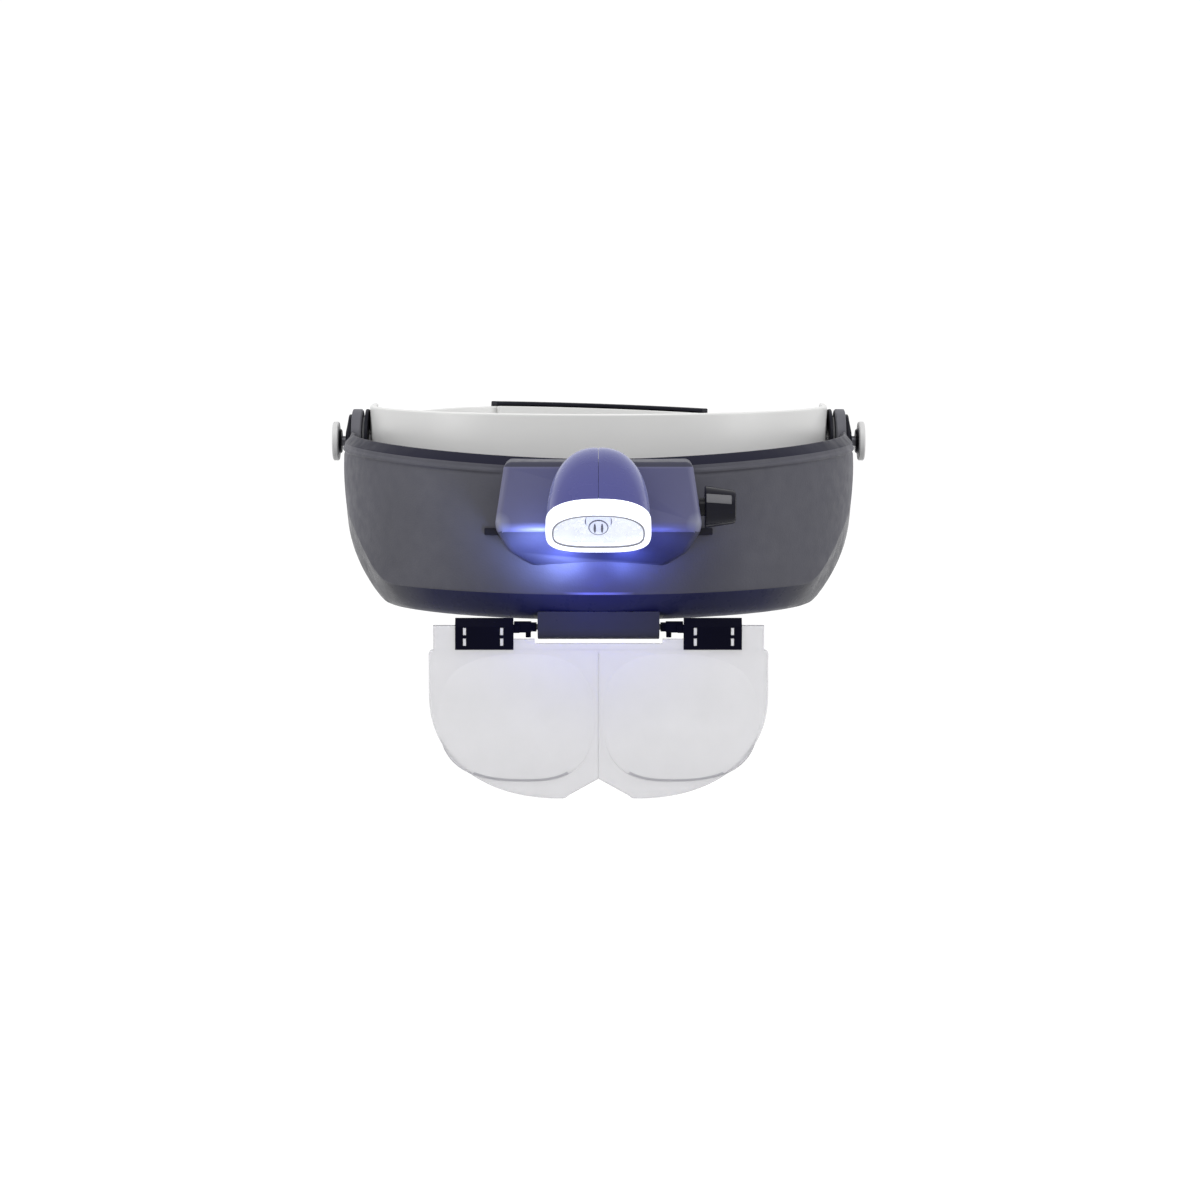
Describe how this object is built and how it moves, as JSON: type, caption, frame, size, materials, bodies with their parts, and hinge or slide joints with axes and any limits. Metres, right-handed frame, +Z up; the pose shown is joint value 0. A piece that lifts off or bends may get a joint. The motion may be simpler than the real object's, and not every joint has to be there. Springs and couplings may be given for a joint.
{
  "type": "headband magnifier",
  "caption": "Headband magnifier: white head strap with a ratchet, grey tilting visor, battery lamp, and a clear twin lens plate that flips up.",
  "frame": {"origin": "centre of the head opening, at the height of the visor's pivot axis", "axes": "+Z up, -Y forward (the way the wearer looks), +X to the wearer's left"},
  "size_m": [0.199, 0.3191, 0.1285],
  "materials": {
    "white_plastic": "smooth, semi-gloss",
    "foam": "soft foam with a knitted face",
    "black_plastic": "fine moulded texture, satin",
    "black_gloss": "polished",
    "steel": "plated",
    "dark_metal": "blackened",
    "grey_washer": "matt",
    "light_grey_plastic": "smooth",
    "visor_plastic": "satin, fine moulded texture",
    "box_plastic": "satin, fine moulded texture",
    "hinge_plastic": "satin",
    "grey_inlay": "matt",
    "cell_wrap": "printed sleeve, left plain",
    "lamp_plastic": "smooth, half gloss",
    "milky_bezel": "milky, lets light through",
    "clear_window": "clear, polished",
    "reflector": "mirror-plated",
    "led_resin": "clear resin",
    "circuit_board": "lacquered",
    "lens_acrylic": "clear acrylic, polished"
  },
  "bodies": {
    "headband": {"forehead_band": "white_plastic", "sweat_pad": "foam", "left_strap": "white_plastic", "right_strap": "white_plastic", "left_pivot_bracket": "black_plastic", "right_pivot_bracket": "black_plastic", "bracket_rivets": "steel", "pivot_washers": "grey_washer", "pivot_nuts": "steel"},
    "rear_unit": {"rear_housing": "black_plastic", "rear_liner": "white_plastic", "rear_screws": "steel", "knob_washer": "grey_washer"},
    "ratchet": {"ratchet_knob": "black_plastic", "ratchet_pinion": "white_plastic", "ratchet_screw": "steel"},
    "left_rack": {"left_rack": "white_plastic"},
    "right_rack": {"right_rack": "white_plastic"},
    "visor": {"visor_shell": "visor_plastic", "battery_tray": "black_plastic", "battery_box": "box_plastic", "battery_cells": "cell_wrap", "contact_springs": "steel", "contact_plates": "steel", "box_screws": "steel", "switch_body": "black_plastic", "lamp_stalk": "hinge_plastic", "lamp_pin": "steel"},
    "switch": {"switch_knob": "black_gloss", "switch_inlay": "grey_inlay"},
    "lamp": {"lamp_shell_left": "lamp_plastic", "lamp_shell_right": "lamp_plastic", "lamp_bezel": "milky_bezel", "lamp_window": "clear_window", "lamp_reflector": "reflector", "lamp_led": "led_resin", "lamp_board": "circuit_board"},
    "lens": {"lens_plate": "lens_acrylic", "left_lens_bracket": "black_plastic", "right_lens_bracket": "black_plastic", "lens_axle": "dark_metal"},
    "left_thumb": {"left_thumb_knob": "light_grey_plastic", "left_thumb_screw": "dark_metal"},
    "right_thumb": {"right_thumb_knob": "light_grey_plastic", "right_thumb_screw": "dark_metal"}
  },
  "joints": [
    {"name": "visor_tilt", "type": "hinge", "parent": "headband", "child": "visor", "pos_m": [0, -0.024, 0], "axis": [-1, 0, 0], "range_deg": [-10, 60]},
    {"name": "left_thumb_turn", "type": "hinge", "parent": "headband", "child": "left_thumb", "pos_m": [0.09, -0.024, 0], "axis": [1, 0, 0], "range_deg": [0, 180]},
    {"name": "right_thumb_turn", "type": "hinge", "parent": "headband", "child": "right_thumb", "pos_m": [-0.09, -0.024, 0], "axis": [-1, 0, 0], "range_deg": [0, 180]},
    {"name": "lamp_tilt", "type": "hinge", "parent": "visor", "child": "lamp", "pos_m": [0, -0.16885, -0.003], "axis": [1, 0, 0], "range_deg": [-10, 20]},
    {"name": "switch_turn", "type": "hinge", "parent": "visor", "child": "switch", "pos_m": [0.035, -0.1554, -0.0148], "axis": [1, 0, 0], "range_deg": [0, 90]},
    {"name": "lens_flip", "type": "hinge", "parent": "visor", "child": "lens", "pos_m": [0, -0.1392, -0.0566], "axis": [-1, 0, 0], "range_deg": [0, 90]},
    {"name": "rear_slide", "type": "slide", "parent": "headband", "child": "rear_unit", "axis": [0, -1, 0], "range_m": [-0.0041, 0.0101], "deforming": ["left_strap", "right_strap"]},
    {"name": "ratchet_turn", "type": "hinge", "parent": "rear_unit", "child": "ratchet", "pos_m": [-0.00017, 0.1086, -0.005], "axis": [0, 1, 0], "range_deg": [-57, 143]},
    {"name": "left_rack_slide", "type": "hinge", "parent": "rear_unit", "child": "left_rack", "pos_m": [0, 0.017, 0], "axis": [0.0349, 0, 0.9994], "range_deg": [-2.8, 6.9]},
    {"name": "right_rack_slide", "type": "hinge", "parent": "rear_unit", "child": "right_rack", "pos_m": [0, 0.017, 0], "axis": [0.0349, 0, 0.9994], "range_deg": [-6.9, 2.8]}
  ],
  "couplings": [
    {"joint": "rear_slide", "follows": "ratchet_turn", "m_per_rad": 0.004},
    {"joint": "left_rack_slide", "follows": "ratchet_turn", "ratio": 0.04711},
    {"joint": "right_rack_slide", "follows": "ratchet_turn", "ratio": -0.04711}
  ]
}
